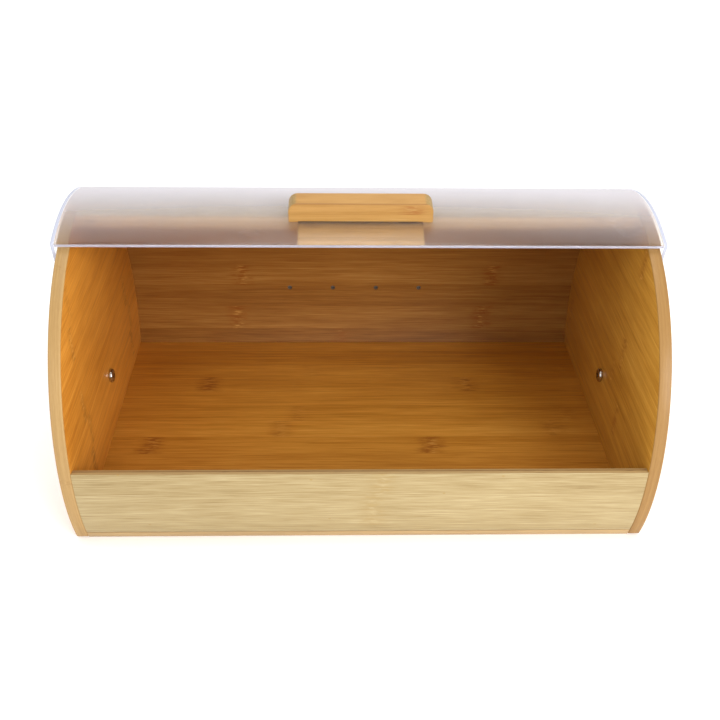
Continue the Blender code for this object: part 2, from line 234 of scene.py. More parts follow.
def objectAxes(start):
    place = start.node("ShaderNodeTexCoord", output="Object")
    split = start.tree.nodes.new("ShaderNodeSeparateXYZ")
    start.tree.links.new(place.socket, split.inputs[0])
    return [Flow(start.tree, socket) for socket in split.outputs]


def joined(start, first, second, third):
    return start.node("ShaderNodeCombineXYZ", None, {0: first, 1: second, 2: third})


def noise(start, vector, detail=2.0, roughness=0.5):
    return start.node(
        "ShaderNodeTexNoise", {"noise_dimensions": "3D"},
        {"Vector": vector, "Scale": 1.0, "Detail": detail, "Roughness": roughness},
    )


def dice(start, number):
    # The same value between 0 and 1 each time for the same number
    return start.node("ShaderNodeTexWhiteNoise", {"noise_dimensions": "1D"}, {"W": number})


def endShader(start, inputs, material, bumpHeight=None, bumpDistance=0.0002, bumpStrength=0.5, haze=None):
    values = dict(inputs)
    if bumpHeight is not None:
        values["Normal"] = start.node(
            "ShaderNodeBump", None, {"Strength": bumpStrength, "Distance": bumpDistance, "Height": bumpHeight}
        )
    shader = start.node("ShaderNodeBsdfPrincipled", None, values)
    if haze:
        # A frosted face turns to plain white haze where it is seen at a slant
        amount, color = haze
        veil = start.node("ShaderNodeBsdfDiffuse", None, {"Color": rgba(color)})
        shader = start.node("ShaderNodeMixShader", None, {0: amount, 1: shader, 2: veil})
    start.node("ShaderNodeOutputMaterial", None, {"Surface": shader})
    return material


def woodMaterial(name, look):
    # Bamboo strips glued side by side: tone by strip, streaks, fine fibres, node marks and glue lines
    material, start = newMaterial(name)
    x, y, z = objectAxes(start)
    height = z - hingeHeight
    radius = (y * y + height * height) ** 0.5
    arc = start.math("ARCTAN2", y, height) * look["bendRadius"] if look["across"] == "arc" else None
    along = {"x": x, "y": y}[look["along"]]
    across = {"y": y, "z": z, "arc": arc}[look["across"]]
    depth = {"x": x, "z": z, "radius": radius}[look["depth"]]
    seed = look["seed"]

    strips = (across + seed * 0.37) / look["stripWidth"]
    index = start.math("FLOOR", strips)
    inStrip = start.math("FRACT", strips)
    tone = dice(start, index + seed * 7.3)
    other = dice(start, index * 1.7 + seed + 41.0)
    shift = tone * 3.0

    # A slow sideways wander keeps the fibres from being ruled lines
    wander = noise(start, joined(start, along * 7.0, across * 9.0, shift), 1.0) * 0.0035
    fibreAcross = across + wander

    def fibres(perAlong, perAcross, perDepth, detail, roughness):
        place = joined(start, along * perAlong + shift, fibreAcross * perAcross, depth * perDepth + seed)
        return noise(start, place, detail, roughness)

    broad = fibres(5.0, 190.0, 60.0, 2.0, 0.5)
    middle = fibres(17.0, 520.0, 240.0, 2.0, 0.55)
    fine = fibres(38.0, 1250.0, 500.0, 4.0, 0.6)
    cloud = noise(start, joined(start, along * 9.0, across * 16.0, depth * 16.0 + seed), 2.0, 0.5)

    shade = (
        0.5
        + (tone - 0.5) * look["stripTone"]
        + (broad - 0.5) * look["broad"]
        + (middle - 0.5) * look["middle"]
        + (fine - 0.5) * look["fine"]
        + (cloud - 0.5) * look["cloud"]
    )
    color = start.node("ShaderNodeValToRGB", {"stops": look["colors"]}, {"Fac": shade})

    # Node marks: one wavy band across each strip at its own place, flecked light and dark
    ripple = noise(start, joined(start, along * 95.0, across * 520.0, depth * 160.0 + seed), 3.0, 0.65)
    sway = noise(start, joined(start, across * 420.0, index * 3.1, seed + 3.0), 2.0, 0.6) - 0.5
    phase = other * look["nodeScatter"] + look.get("nodeShift", seed * 0.13)
    spot = start.math("FRACT", along / look["nodeSpacing"] + phase) - 0.5
    away = start.math("ABSOLUTE", spot * look["nodeSpacing"] + sway * look["nodeSway"])
    band = 1.0 - away.between(0.0, look["nodeWidth"])
    core = 1.0 - away.between(0.0, look["nodeWidth"] * 0.45)
    strength = other.between(0.25, 0.8) * look["nodeStrength"]
    blotch = band * cloud.between(0.35, 0.6) * strength * 0.45
    color = blotch.mixColor(color, look["nodeDark"])
    darkFleck = band * ripple.between(0.47, 0.60) * strength
    lightFleck = core * (1.0 - ripple.between(0.36, 0.5)) * strength
    color = darkFleck.mixColor(color, look["nodeDark"])
    color = (lightFleck * 0.5).mixColor(color, look["nodeLight"])

    # Small knots, few and scattered
    cells = joined(start, along * look["knotAlong"], across * look["knotAcross"], seed)
    knot = start.node(
        "ShaderNodeTexVoronoi", {"feature": "F1", "voronoi_dimensions": "2D"},
        {"Vector": cells, "Scale": 1.0, "Randomness": 0.9},
    )
    knotMask = (1.0 - knot.between(0.007, 0.014)) * look["knotStrength"]
    color = knotMask.mixColor(color, look["nodeDark"])

    # Glue lines between strips
    edgeDistance = (0.5 - start.math("ABSOLUTE", inStrip - 0.5)) * look["stripWidth"]
    line = (1.0 - edgeDistance.between(0.0, 0.00045)) * look["lineStrength"]
    color = line.mixColor(color, look["lineColor"])
    bump = (fine - 0.5) * 0.35 + (middle - 0.5) * 0.6 - line * 0.8 - darkFleck * 0.5 + lightFleck * 0.4

    rough = look["roughness"] + (middle - 0.5) * 0.16 + (cloud - 0.5) * 0.1
    if "edge" in look:
        color, bump, rough = look["edge"](start, (x, y, z, radius), color, bump, rough, shade, seed)
    return endShader(
        start,
        {
            "Base Color": color, "Roughness": rough, "IOR": 1.45, "Coat Weight": look["coat"],
            "Coat Roughness": look["coatRoughness"], "Coat IOR": 1.5, "Specular IOR Level": 0.4,
        },
        material, bump, look["bumpDistance"], look["bumpStrength"],
    )


warmBamboo = {
    "bendRadius": 0.128, "stripWidth": 0.0195, "stripTone": 0.20, "broad": 0.50, "middle": 0.60, "fine": 0.85,
    "cloud": 0.28,
    "colors": [
        (0.0, (0.31, 0.105, 0.008)), (0.35, (0.48, 0.195, 0.022)), (0.65, (0.61, 0.275, 0.040)),
        (1.0, (0.76, 0.40, 0.085)),
    ],
    "nodeSpacing": 0.21, "nodeScatter": 1.0, "nodeSway": 0.012, "nodeWidth": 0.0125, "nodeStrength": 0.85,
    "nodeDark": (0.27, 0.080, 0.008), "nodeLight": (0.76, 0.41, 0.10),
    "knotAlong": 11.0, "knotAcross": 20.0, "knotStrength": 0.0,
    "lineStrength": 0.30, "lineColor": (0.30, 0.11, 0.01),
    "roughness": 0.46, "coat": 0.16, "coatRoughness": 0.22, "bumpDistance": 0.00018, "bumpStrength": 0.35,
}


def tinted(color, tint):
    return [part * share for part, share in zip(color, tint)]


def panelEdge(rimTint):
    # The rim round a side panel: paler, with the layers of the board running round it
    def addRim(start, axes, color, bump, rough, shade, seed):
        x, y, z, radius = axes
        outer = sidePanel["radius"]
        turn = start.math("ARCTAN2", y, z - hingeHeight) * outer
        foot = 1.0 - z.between(0.0003, 0.0012)
        rim = start.math("MAXIMUM", radius.between(outer - 0.0012, outer - 0.0003), foot)
        layers = noise(start, joined(start, turn * 9.0, x * 520.0, seed + 5.0), 2.0, 0.55)
        grains = noise(start, joined(start, turn * 150.0, x * 1900.0, seed + 9.0), 3.0, 0.6)
        tone = layers * 0.65 + grains * 0.35
        paints = [(0.25, (0.31, 0.175, 0.056)), (0.5, (0.395, 0.235, 0.080)), (0.75, (0.48, 0.305, 0.118))]
        stops = [(position, tinted(paint, rimTint)) for position, paint in paints]
        rimColor = start.node("ShaderNodeValToRGB", {"stops": stops}, {"Fac": tone})
        wave = noise(start, joined(start, turn * 420.0, x * 260.0, seed), 2.0, 0.6)
        spacing = start.math("ABSOLUTE", start.math("FRACT", turn / 0.142 + seed * 0.31) - 0.5)
        mark = (1.0 - spacing.between(0.0, 0.03)) * wave.between(0.45, 0.6)
        rimColor = (mark * 0.5).mixColor(rimColor, (0.30, 0.16, 0.045))
        bump = bump + rim * (tone - 0.5) * 0.8 - rim * mark * 0.6
        return rim.mixColor(color, rimColor), bump, rough + rim * 0.06

    return addRim


plyColors = [
    (0.0, (0.29, 0.165, 0.058)), (0.12, (0.29, 0.165, 0.058)), (0.17, (0.36, 0.235, 0.092)),
    (0.50, (0.36, 0.230, 0.088)), (0.54, (0.12, 0.050, 0.014)), (0.66, (0.22, 0.105, 0.028)),
    (0.72, (0.31, 0.185, 0.064)), (1.0, (0.36, 0.245, 0.095)),
]


def plyEdge(outerRadius, thickness, outerColors=None, paleness=1.0, darkCutsBelow=None):
    # A bent board's plies, which show only where the board is cut. Cut faces below a given height, the vents'
    # walls among them, are coloured dark
    def addPlies(start, axes, color, bump, rough, shade, seed):
        x, y, z, radius = axes
        level = (outerRadius - radius) / thickness
        if outerColors:
            outside = start.node("ShaderNodeValToRGB", {"stops": outerColors}, {"Fac": shade})
            color = (1.0 - level.between(0.03, 0.07)).mixColor(color, outside)
        inside = level.between(0.03, 0.07) * (1.0 - level.between(0.93, 0.97))
        mottled = noise(start, joined(start, x * 90.0, radius * 1900.0, seed + 2.0), 3.0, 0.65)
        speck = noise(start, joined(start, x * 42.0, radius * 500.0, seed + 8.0), 3.0, 0.6)
        stops = [(position, [min(1.0, part * paleness) for part in paint]) for position, paint in plyColors]
        plies = start.node("ShaderNodeValToRGB", {"stops": stops}, {"Fac": level + (mottled - 0.5) * 0.05})
        whole = ((mottled - 0.35) * 1.1).mixColor(plies, (0.42, 0.30, 0.135))
        outerHalf = level.between(0.1, 0.2) * (1.0 - level.between(0.5, 0.6))
        specks = (1.0 - speck.between(0.30, 0.40)) * outerHalf * 0.9
        whole = specks.mixColor(whole, (0.10, 0.05, 0.02))
        if darkCutsBelow:
            # Cut faces below this height, which take in the vents' walls, are coloured dark
            darkCutsMask = 1.0 - z.between(darkCutsBelow, darkCutsBelow + 0.005)
            whole = (darkCutsMask * 0.75).mixColor(whole, (0.085, 0.042, 0.018))
        return inside.mixColor(color, whole), bump + inside * (mottled - 0.5) * 1.2, rough + inside * 0.12

    return addPlies


def endGrain(half, reach, strength, arris=None):
    # Cut ends of a strip or handle: finer, greener and duller. The handle's arris is its upper front edge,
    # drawn with a darker line along it, given as how far up and how far forward it lies
    def addEnds(start, axes, color, bump, rough, shade, seed):
        x, y, z, radius = axes
        ends = start.math("ABSOLUTE", x).between(half - reach, half - reach * 0.6)
        dots = noise(start, joined(start, x * 700.0, y * 2400.0, z * 2400.0 + seed), 2.0, 0.6)
        cut = dots.between(0.35, 0.62).mixColor((0.21, 0.135, 0.040), (0.40, 0.27, 0.095))
        if arris:
            top, forward = arris
            lean = radians(90 - handleAngle)
            upward = (z - hingeHeight) * cos(lean) - y * sin(lean)
            ahead = -1.0 * (y * cos(lean) + (z - hingeHeight) * sin(lean))
            nearTop = upward.between(top - 0.0011, top - 0.0003)
            arrisLine = nearTop * ahead.between(forward - 0.0011, forward - 0.0003)
            # A darker line along the handle's upper front edge
            color = (arrisLine * 0.75).mixColor(color, (0.27, 0.125, 0.028))
            ends = ends * (1.0 - start.math("ABSOLUTE", ahead).between(forward - 0.0009, forward - 0.0004))
        return (ends * strength).mixColor(color, cut), bump + ends * (dots - 0.5), rough + ends * 0.12

    return addEnds


def floorEdge(start, axes, color, bump, rough, shade, seed):
    # Pale raw edges at the front and back, and boards painted darker at the front and paler towards the back,
    # as painted shade and painted light
    x, y, z, radius = axes
    front = start.math("ABSOLUTE", y).between(0.1185, 0.1205)
    edgeColor = shade.mixColor((0.34, 0.21, 0.085), (0.58, 0.395, 0.185))
    # Painted shade at the front and painted light towards the back: the boards' colour is scaled from darker
    # to paler
    paintedLightFrontToBack = y.between(-0.09, 0.09).mixColor((0.90, 0.88, 0.82), (1.13, 1.16, 1.05))
    color = start.node(
        "ShaderNodeMix", {"data_type": "RGBA", "blend_type": "MULTIPLY"},
        {0: 1.0, 6: color, 7: paintedLightFrontToBack}, output=2,
    )
    return front.mixColor(color, edgeColor), bump, rough


def steelMaterial(name, tint, roughness, seed):
    material, start = newMaterial(name)
    x, y, z = objectAxes(start)
    height = z - hingeHeight
    radius = (y * y + height * height) ** 0.5
    turned = noise(start, joined(start, radius * 9000.0, x * 2200.0, seed), 2.0, 0.5)
    smudge = noise(start, joined(start, x * 420.0, y * 420.0, z * 420.0 + seed), 3.0, 0.6)
    color = smudge.mixColor([part * 0.80 for part in tint], tint)
    rough = roughness + (turned - 0.5) * 0.10 + (smudge - 0.5) * 0.12
    return endShader(
        start, {"Base Color": color, "Roughness": rough, "Metallic": 1.0}, material, turned, 0.00002, 0.4
    )


def plasticMaterial(name, seed):
    material, start = newMaterial(name)
    x, y, z = objectAxes(start)
    mottle = noise(start, joined(start, x * 900.0, y * 900.0, z * 900.0 + seed), 3.0, 0.6)
    color = mottle.mixColor((0.66, 0.66, 0.63), (0.80, 0.80, 0.77))
    rough = 0.42 + (mottle - 0.5) * 0.2
    return endShader(
        start, {"Base Color": color, "Roughness": rough, "IOR": 1.5}, material, mottle, 0.00003, 0.3
    )


def acrylicMaterial(name, look):
    material, start = newMaterial(name)
    x, y, z = objectAxes(start)
    size = look["gritScale"]
    cloud = noise(start, joined(start, x * 26.0, y * 26.0, z * 26.0 + look["seed"]), 3.0, 0.55)
    grit = noise(start, joined(start, x * size, y * size, z * size + look["seed"]), 2.0, 0.5)
    color = (cloud * 0.7 + grit * 0.3).mixColor(look["deep"], look["pale"])
    rough = look["roughness"] + (cloud - 0.5) * look["uneven"] + (grit - 0.5) * look["uneven"]
    haze = None
    if "haze" in look:
        slant = start.node("ShaderNodeLayerWeight", None, {"Blend": 0.5}, output="Facing")
        unevenHaze = look["haze"] + (cloud - 0.5) * 0.12 + (grit - 0.5) * 0.10
        haze = (slant.between(look["hazeFrom"], look["hazeTo"]) * unevenHaze, look["hazeColor"])
    return endShader(
        start,
        {
            "Base Color": color, "Roughness": rough, "IOR": 1.49, "Transmission Weight": look["clearness"],
            "Specular IOR Level": look["gloss"], "Alpha": look["alpha"],
        },
        material, haze=haze,
    )


sidePanel = {
    "radius": 0.132, "vertices": 180, "footRounding": 0.003, "edgeRounding": 0.0008, "holeRadius": 0.0033,
    "slot": "side_bamboo",
}
acrossX = (0, pi / 2, 0)  # turns a cylinder to lie along the hinge line
footAngle = asin(hingeHeight / sidePanel["radius"])


def makeSidePanel(node, tint, rimTint, seed, nodeScatter, nodeShift):
    low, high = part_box(node)
    middle, thickness = (low.x + high.x) / 2, high.x - low.x
    deselectAll()
    bpy.ops.mesh.primitive_cylinder_add(
        vertices=sidePanel["vertices"], radius=sidePanel["radius"], depth=thickness,
        location=(middle, 0, hingeHeight), rotation=acrossX,
    )
    panel = bpy.context.object
    setTransform()
    editOn()
    bpy.ops.mesh.select_all(action="SELECT")
    bpy.ops.mesh.bisect(plane_co=(0, 0, 0), plane_no=(0, 0, 1), use_fill=True, clear_inner=True)
    # The two lower corners, by the length along their edges that the rounding takes
    pick("EDGE", lambda at, way: abs(way.x) > 0.9 and abs(at.z) < tiny and abs(at.y) > 0.1)
    width = sidePanel["footRounding"] / tan((pi / 2 + footAngle) / 2)
    bpy.ops.mesh.bevel(offset=width, offset_type="OFFSET", segments=6, profile=0.5, affect="EDGES")
    # Both rims, then the hole for the pivot
    pick("EDGE", lambda at, way: abs(way.x) < 0.1 and abs(abs(at.x - middle) - thickness / 2) < tiny)
    bpy.ops.mesh.bevel(
        offset=sidePanel["edgeRounding"], offset_type="OFFSET", segments=3, profile=0.5, affect="EDGES"
    )
    editOff()
    drill(panel, sidePanel["holeRadius"], thickness * 2, (middle, 0, hingeHeight), acrossX)
    look = {
        **warmBamboo, "along": "y", "across": "z", "depth": "x", "seed": seed, "edge": panelEdge(rimTint),
        "stripWidth": 0.024, "nodeSpacing": 0.16, "stripTone": 0.12, "lineStrength": 0.10, "cloud": 0.35,
        "nodeScatter": nodeScatter, "nodeShift": nodeShift, "nodeWidth": 0.007,
        "nodeDark": (0.38, 0.150, 0.018), "nodeLight": (0.84, 0.47, 0.13),
    }
    look["colors"] = [(position, tinted(color, tint)) for position, color in warmBamboo["colors"]]
    finishPiece(panel, node, "case", [woodMaterial(node + " bamboo", look)])


makeSidePanel(
    "side_panel_left", tint=(1.18, 1.08, 1.0), rimTint=(1.0, 1.0, 1.0),
    seed=3.0, nodeScatter=0.12, nodeShift=0.87,
)
makeSidePanel(
    "side_panel_right", tint=(0.98, 1.10, 1.1), rimTint=(0.80, 0.70, 0.52),
    seed=11.0, nodeScatter=0.6, nodeShift=0.3,
)


def bendBoard(radius, thickness, first, last, length, step=1.5):
    # Its cut end stands on the hinge's radius and is spun round the hinge
    deselectAll()
    bpy.ops.mesh.primitive_plane_add(
        size=1, location=polar(radius - thickness / 2, first), rotation=(pi - radians(first), 0, 0)
    )
    board = bpy.context.object
    board.scale = (length, thickness, 1)
    setTransform()
    editOn()
    bpy.ops.mesh.select_all(action="SELECT")
    bpy.ops.mesh.spin(
        steps=round((last - first) / step), angle=radians(last - first), center=hinge, axis=(1, 0, 0)
    )
    bpy.ops.mesh.select_all(action="SELECT")
    bpy.ops.mesh.remove_doubles(threshold=mergeDistance)
    bpy.ops.mesh.normals_make_consistent(inside=False)
    editOff()
    return board


floorBoard = {"lip": 0.006, "thickness": 0.011, "edgeRounding": 0.0004, "slot": "floor_bamboo"}
boardRadius = 0.1317
boardLength = 0.3702
boardFoot = degrees(asin((hingeHeight - floorBoard["lip"] - gap) / boardRadius))  # down to the floor's lips

frontBoard = {"thickness": 0.0055, "topAngle": 4.6, "edgeRounding": 0.0004, "slot": "front_plywood"}
board = bendBoard(boardRadius, frontBoard["thickness"], -boardFoot, frontBoard["topAngle"], boardLength)
softenEdges(board, frontBoard["edgeRounding"])
paleVeneer = [
    (0.0, (0.24, 0.155, 0.052)), (0.35, (0.355, 0.255, 0.110)), (0.65, (0.425, 0.322, 0.157)),
    (1.0, (0.54, 0.43, 0.245)),
]
frontLook = {
    **warmBamboo, "along": "x", "across": "arc", "depth": "radius", "seed": 5.0,
    "edge": plyEdge(boardRadius, frontBoard["thickness"]), "stripWidth": 0.031, "stripTone": 0.12,
    "colors": paleVeneer, "broad": 0.36, "middle": 0.45, "fine": 1.50, "cloud": 0.34,
    "nodeDark": (0.36, 0.235, 0.075), "nodeLight": (0.62, 0.49, 0.28), "nodeSpacing": 0.23,
    "nodeStrength": 0.5,
    "lineStrength": 0.10, "lineColor": (0.32, 0.20, 0.08), "knotStrength": 0.8,
    "coat": 0.10, "roughness": 0.5,
}
finishPiece(board, "front_board", "case", [woodMaterial("front plywood", frontLook)])

backBoard = {
    "thickness": 0.0085, "frontAngle": 85.0, "edgeRounding": 0.0004, "slot": "back_plywood",
    "ventRadius": 0.0019, "ventSpacing": 0.0364, "ventCount": 4, "ventRise": 0.0082, "ventDrill": 0.03,
}
board = bendBoard(boardRadius, backBoard["thickness"], backBoard["frontAngle"], 180 + boardFoot, boardLength)
softenEdges(board, backBoard["edgeRounding"])
for number in range(backBoard["ventCount"]):
    across = (number - (backBoard["ventCount"] - 1) / 2) * backBoard["ventSpacing"]
    vent = (across, boardRadius - backBoard["thickness"] / 2, hingeHeight + backBoard["ventRise"])
    drill(board, backBoard["ventRadius"], backBoard["ventDrill"], vent, (pi / 2, 0, 0), 28)
backLook = {
    **warmBamboo, "along": "x", "across": "arc", "depth": "radius", "seed": 8.0,
    "edge": plyEdge(boardRadius, backBoard["thickness"], paleVeneer, paleness=1.8, darkCutsBelow=0.1),
    "stripWidth": 0.021, "stripTone": 0.34,
    "colors": [
        (0.0, (0.165, 0.056, 0.007)), (0.35, (0.265, 0.105, 0.017)), (0.65, (0.355, 0.158, 0.031)),
        (1.0, (0.48, 0.250, 0.062)),
    ],
}
finishPiece(board, "back_board", "case", [woodMaterial("back plywood", backLook)])


def depthAt(radius, z):
    return sqrt(radius ** 2 - (hingeHeight - z) ** 2)


def makeFloorBoard():
    # A slab under the bent boards, then the floor itself extruded from its top, between them
    lip, top = floorBoard["lip"], floorBoard["thickness"]
    half = depthAt(boardRadius, lip)
    deselectAll()
    bpy.ops.mesh.primitive_cube_add(size=1, location=(0, 0, lip / 2))
    slab = bpy.context.object
    slab.scale = (boardLength, 2 * half, lip)
    setTransform()
    frontInner = boardRadius - frontBoard["thickness"] - gap
    backInner = boardRadius - backBoard["thickness"] - gap
    frontFoot, backFoot = depthAt(frontInner, lip), depthAt(backInner, lip)

    def slideEdge(level, side, shift):
        pick("EDGE", lambda at, way: abs(way.x) > 0.9 and abs(at.z - level) < tiny and at.y * side > 0)
        bpy.ops.transform.translate(value=(0, shift, 0))

    editOn()
    slideEdge(0, -1, half - depthAt(boardRadius, 0))
    slideEdge(0, 1, depthAt(boardRadius, 0) - half)
    pick("FACE", lambda at, way: way.z > 0.9)
    bpy.ops.mesh.extrude_region_move(TRANSFORM_OT_translate={"value": (0, 0, 0)})
    bpy.ops.transform.resize(value=(1, (frontFoot + backFoot) / (2 * half), 1), center_override=(0, 0, lip))
    bpy.ops.transform.translate(value=(0, (backFoot - frontFoot) / 2, 0))
    bpy.ops.mesh.extrude_region_move(TRANSFORM_OT_translate={"value": (0, 0, top - lip)})
    slideEdge(top, -1, frontFoot - depthAt(frontInner, top))
    slideEdge(top, 1, depthAt(backInner, top) - backFoot)
    editOff()
    softenEdges(slab, floorBoard["edgeRounding"])
    look = {
        **warmBamboo, "along": "x", "across": "y", "depth": "z", "seed": 2.0, "edge": floorEdge,
        "stripWidth": 0.0205, "nodeWidth": 0.014,
    }
    finishPiece(slab, "floor_board", "case", [woodMaterial("floor bamboo", look)])


makeFloorBoard()


lid = {
    "innerRadius": 0.134, "thickness": 0.0023, "frontAngle": 70.2, "rearAngle": 165.0,
    "edgeRounding": 0.00025, "bossRadius": 0.013, "barrelHole": 0.0032, "bond": 0.00025,
}
lidOuter = lid["innerRadius"] + lid["thickness"]
frostedLook = {
    "seed": 1.0, "deep": (0.99, 0.925, 0.85), "pale": (1.0, 0.955, 0.90), "roughness": 0.26, "uneven": 0.04,
    "clearness": 1.0, "gloss": 0.15, "alpha": 1.0, "gritScale": 2600.0,
    "haze": 0.68, "hazeFrom": 0.30, "hazeTo": 0.90, "hazeColor": (0.74, 0.71, 0.76),
}
clearLook = {
    "seed": 4.0, "deep": (0.70, 0.70, 0.85), "pale": (0.78, 0.78, 0.92), "roughness": 0.12, "uneven": 0.03,
    "clearness": 0.60, "gloss": 0.5, "alpha": 1.0, "gritScale": 120.0,
}
cheekLook = {
    **clearLook, "seed": 7.0, "deep": (0.80, 0.81, 0.87), "pale": (0.88, 0.89, 0.94), "roughness": 0.08,
    "uneven": 0.02, "clearness": 0.0, "alpha": 0.045,
}
rimLook = {
    **clearLook, "seed": 12.0, "deep": (0.40, 0.42, 0.53), "pale": (0.50, 0.53, 0.64), "roughness": 0.20,
    "clearness": 0.25,
}
bondedLook = {
    **clearLook, "seed": 15.0, "deep": (0.80, 0.81, 0.86), "pale": (0.90, 0.91, 0.95), "clearness": 0.15,
}
frosted = acrylicMaterial("frosted acrylic", frostedLook)
clearEdge = acrylicMaterial("clear acrylic edge", clearLook)
bonded = acrylicMaterial("bonded acrylic edge", bondedLook)

handleTilt = (radians(90 - handleAngle), 0, 0)
screwHole = {"radius": 0.0018, "length": 0.0285, "middle": 0.13345, "across": 0.028}


def drillForScrew(piece, side):
    hole = polar(screwHole["middle"], handleAngle) + Vector((side * screwHole["across"], 0, 0))
    drill(piece, screwHole["radius"], screwHole["length"], hole, handleTilt, 28)


def makeShell():
    # The sheet's two faces are frosted and its cut edges polished. Its ends are bonded to the cheeks
    low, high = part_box("lid_shell")
    length = high.x - low.x + 2 * lid["bond"]
    shell = bendBoard(lidOuter, lid["thickness"], lid["frontAngle"], lid["rearAngle"], length, 1.2)
    softenEdges(shell, lid["edgeRounding"])
    for side in (-1, 1):
        drillForScrew(shell, side)
    finishPiece(shell, "lid_shell", "lid", [frosted, clearEdge, bonded])
    workOn(shell)
    editOn()
    giveMaterial(shell, 1, lambda at, way: abs(way.dot(fromHinge(at).normalized())) < 0.9)
    giveMaterial(shell, 2, lambda at, way: abs(way.x) > 0.5)
    editOff()


def makeCheek(node):
    # A disc cut along two lines that pass the boss, with the corner that they leave rounded to the boss
    low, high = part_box(node)
    middle, thickness = (low.x + high.x) / 2, high.x - low.x
    boss = lid["bossRadius"]
    deselectAll()
    bpy.ops.mesh.primitive_cylinder_add(
        vertices=300, radius=lidOuter, depth=thickness, location=(middle, 0, hingeHeight), rotation=acrossX
    )
    cheek = bpy.context.object
    setTransform()
    lean = degrees(asin(boss / lidOuter))
    corner = (lid["rearAngle"] - lid["frontAngle"]) - 2 * lean
    editOn()
    for edgeAngle, outward in ((lid["frontAngle"] + lean, -90), (lid["rearAngle"] - lean, 90)):
        facing = polar(1, edgeAngle + outward) - hinge
        bpy.ops.mesh.select_all(action="SELECT")
        bpy.ops.mesh.bisect(plane_co=hinge + facing * boss, plane_no=facing, use_fill=True, clear_outer=True)
    near = boss / sin(radians(corner / 2))
    pick("EDGE", lambda at, way: abs(way.x) > 0.9 and fromHinge(at).length < near + 0.002)
    bpy.ops.mesh.bevel(
        offset=boss / tan(radians(corner / 2)), offset_type="OFFSET", segments=20, profile=0.5, affect="EDGES"
    )
    editOff()
    softenEdges(cheek, lid["edgeRounding"])
    drill(cheek, lid["barrelHole"], 0.02, (middle, 0, hingeHeight), acrossX, 48)
    faces, rim = acrylicMaterial(node + " acrylic", cheekLook), acrylicMaterial(node + " rim", rimLook)
    finishPiece(cheek, node, "lid", [faces, rim])
    workOn(cheek)
    editOn()
    giveMaterial(cheek, 1, lambda at, way: abs(way.x) < 0.9)
    editOff()


makeShell()
makeCheek("lid_cheek_left")
makeCheek("lid_cheek_right")

handle = {
    "length": 0.0936, "depth": 0.0135, "height": 0.013, "under": 0.0015, "cornerRadius": 0.0062,
    "edgeRounding": 0.00045, "reliefLength": 0.0812, "reliefDepth": 0.0005, "seatDrill": 0.14,
    "slot": "handle_bamboo",
}


def makeHandle():
    # A bar that starts a little under the lid's outer face, which is then drilled out of it
    under, half = handle["under"], handle["length"] / 2
    tall = handle["height"] + under
    deselectAll()
    bpy.ops.mesh.primitive_cube_add(
        size=1, location=polar(lidOuter + gap - under + tall / 2, handleAngle), rotation=handleTilt
    )
    bar = bpy.context.object
    bar.scale = (handle["length"], handle["depth"], tall)
    setTransform(location=False, rotation=False)
    editOn()
    pick("EDGE", lambda at, way: abs(way.y) > 0.9 and at.z > 0)
    bpy.ops.mesh.bevel(
        offset=handle["cornerRadius"], offset_type="OFFSET", segments=10, profile=0.5, affect="EDGES"
    )
    pick("FACE", lambda at, way: abs(way.y) > 0.9)
    bpy.ops.mesh.region_to_loop()
    bpy.ops.mesh.bevel(
        offset=handle["edgeRounding"], offset_type="OFFSET", segments=4, profile=0.5, affect="EDGES"
    )
    editOff()
    setTransform()
    drill(bar, lidOuter + gap, handle["seatDrill"], hinge, acrossX, 360)
    drill(bar, lidOuter + gap + handle["reliefDepth"], handle["reliefLength"], hinge, acrossX, 360)
    for side in (-1, 1):
        drillForScrew(bar, side)
    arris = (lidOuter + gap + handle["height"], handle["depth"] / 2)
    look = {
        **warmBamboo, "along": "x", "across": "z", "depth": "z", "seed": 6.0,
        "edge": endGrain(half, handle["cornerRadius"], 0.85, arris),
        "stripWidth": 0.0062, "stripTone": 0.22, "cloud": 0.2,
        "colors": [
            (0.0, (0.31, 0.135, 0.026)), (0.35, (0.41, 0.205, 0.045)), (0.65, (0.48, 0.255, 0.066)),
            (1.0, (0.57, 0.34, 0.115)),
        ],
        "nodeSpacing": 0.12, "nodeScatter": 0.1, "nodeShift": 0.13, "nodeStrength": 0.7,
        "nodeDark": (0.33, 0.12, 0.020), "nodeLight": (0.60, 0.38, 0.14), "coat": 0.12, "roughness": 0.44,
    }
    finishPiece(bar, "lid_handle", "lid", [woodMaterial("handle bamboo", look)])


makeHandle()

strip = {
    "length": 0.0812, "thickness": 0.006, "frontAngle": 72.6, "cornerRounding": 0.0018,
    "edgeRounding": 0.0005, "slot": "strip_wood",
}


def makeStrip():
    outer = lid["innerRadius"] - gap
    last = backBoard["frontAngle"] - degrees(gap / boardRadius)
    piece = bendBoard(outer, strip["thickness"], strip["frontAngle"], last, strip["length"], 1.0)
    workOn(piece)
    editOn()
    # Its lower front corner, which comes to rest on the front board
    corner = fromHinge(polar(outer - strip["thickness"], strip["frontAngle"]))
    pick("EDGE", lambda at, way: abs(way.x) > 0.9 and (fromHinge(at) - corner).length < 0.001)
    bpy.ops.mesh.bevel(
        offset=strip["cornerRounding"], offset_type="OFFSET", segments=4, profile=0.5, affect="EDGES"
    )
    editOff()
    softenEdges(piece, strip["edgeRounding"])
    for side in (-1, 1):
        drillForScrew(piece, side)
    look = {
        **warmBamboo, "along": "x", "across": "arc", "depth": "radius", "seed": 9.0,
        "edge": endGrain(strip["length"] / 2, 0.001, 0.25), "stripWidth": 0.009, "stripTone": 0.2,
        "colors": [
            (0.0, (0.43, 0.25, 0.07)), (0.35, (0.56, 0.34, 0.11)), (0.65, (0.65, 0.41, 0.15)),
            (1.0, (0.75, 0.50, 0.21)),
        ],
        "coat": 0.05, "roughness": 0.52,
    }
    finishPiece(piece, "handle_backing_strip", "lid", [woodMaterial("strip wood", look)])


makeStrip()


